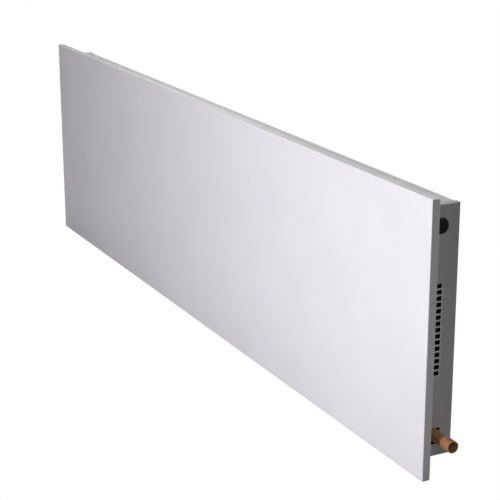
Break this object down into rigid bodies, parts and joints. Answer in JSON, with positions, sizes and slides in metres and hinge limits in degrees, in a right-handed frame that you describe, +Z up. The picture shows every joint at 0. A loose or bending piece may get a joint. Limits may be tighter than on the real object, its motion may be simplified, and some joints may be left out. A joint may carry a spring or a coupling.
{
  "type": "baseboard heater",
  "caption": "Slim wall-hung hot-water baseboard heater: a finned copper tube low in a vented sheet-metal casing behind a flat lift-off front panel.",
  "frame": {"origin": "bottom centre of the whole heater: mid-length, midway between the wall and the front panel's face, level with the panel's bottom edge", "axes": "+X along the heater to its right end as seen from the room, +Y from the room into the wall, +Z up; the wall face is the plane Y = 0.027"},
  "size_m": [1.233, 0.054, 0.34],
  "materials": {
    "panel_enamel": "satin white enamel",
    "casing_enamel": "satin light grey enamel",
    "galvanised_steel": "dull zinc-coated sheet",
    "zinc_plate": "bright zinc plating",
    "copper": "drawn copper tube, slightly dulled",
    "fin_aluminium": "mill finish",
    "black_rubber": "matt black",
    "white_nylon": "natural nylon"
  },
  "bodies": {
    "casing": {"end_plate_right": "casing_enamel", "end_plate_left": "casing_enamel", "top_deck": "casing_enamel", "bottom_tray": "galvanised_steel", "back_panel": "galvanised_steel", "blanking_grommet_right": "black_rubber", "blanking_grommet_left": "black_rubber", "wall_spacer_right_upper": "black_rubber", "wall_spacer_right_lower": "black_rubber", "wall_spacer_left_upper": "black_rubber", "wall_spacer_left_lower": "black_rubber", "end_screw_right_upper": "zinc_plate", "end_screw_right_lower": "zinc_plate", "end_screw_left_upper": "zinc_plate", "end_screw_left_lower": "zinc_plate", "support_bracket_left": "galvanised_steel", "support_bracket_centre": "galvanised_steel", "support_bracket_right": "galvanised_steel", "support_screw_left_upper": "zinc_plate", "support_screw_left_lower": "zinc_plate", "support_screw_centre_upper": "zinc_plate", "support_screw_centre_lower": "zinc_plate", "support_screw_right_upper": "zinc_plate", "support_screw_right_lower": "zinc_plate", "tube_glide_left": "white_nylon", "tube_glide_centre": "white_nylon", "tube_glide_right": "white_nylon", "damper_bracket_left": "galvanised_steel", "damper_bracket_right": "galvanised_steel"},
    "front_cover": {"front_panel": "panel_enamel", "panel_stiffener_upper": "galvanised_steel", "panel_stiffener_lower": "galvanised_steel", "top_hanger_left": "galvanised_steel", "top_hanger_centre": "galvanised_steel", "top_hanger_right": "galvanised_steel", "bottom_hanger_left": "galvanised_steel", "bottom_hanger_right": "galvanised_steel"},
    "heating_element": {"element_tube": "copper", "fin_pack_left_end": "fin_aluminium", "fin_pack_left": "fin_aluminium", "fin_pack_right": "fin_aluminium", "fin_pack_right_end": "fin_aluminium"},
    "damper": {"damper_blade": "galvanised_steel"}
  },
  "joints": [
    {"name": "panel_lift", "type": "slide", "parent": "casing", "child": "front_cover", "axis": [0, 0, 1], "range_m": [0, 0.009]},
    {"name": "element_expansion", "type": "slide", "parent": "casing", "child": "heating_element", "axis": [1, 0, 0], "range_m": [-0.002, 0.002]},
    {"name": "damper_hinge", "type": "hinge", "parent": "casing", "child": "damper", "pos_m": [0, 0.007, 0.3176], "axis": [-1, 0, 0], "range_deg": [0, 85]}
  ]
}
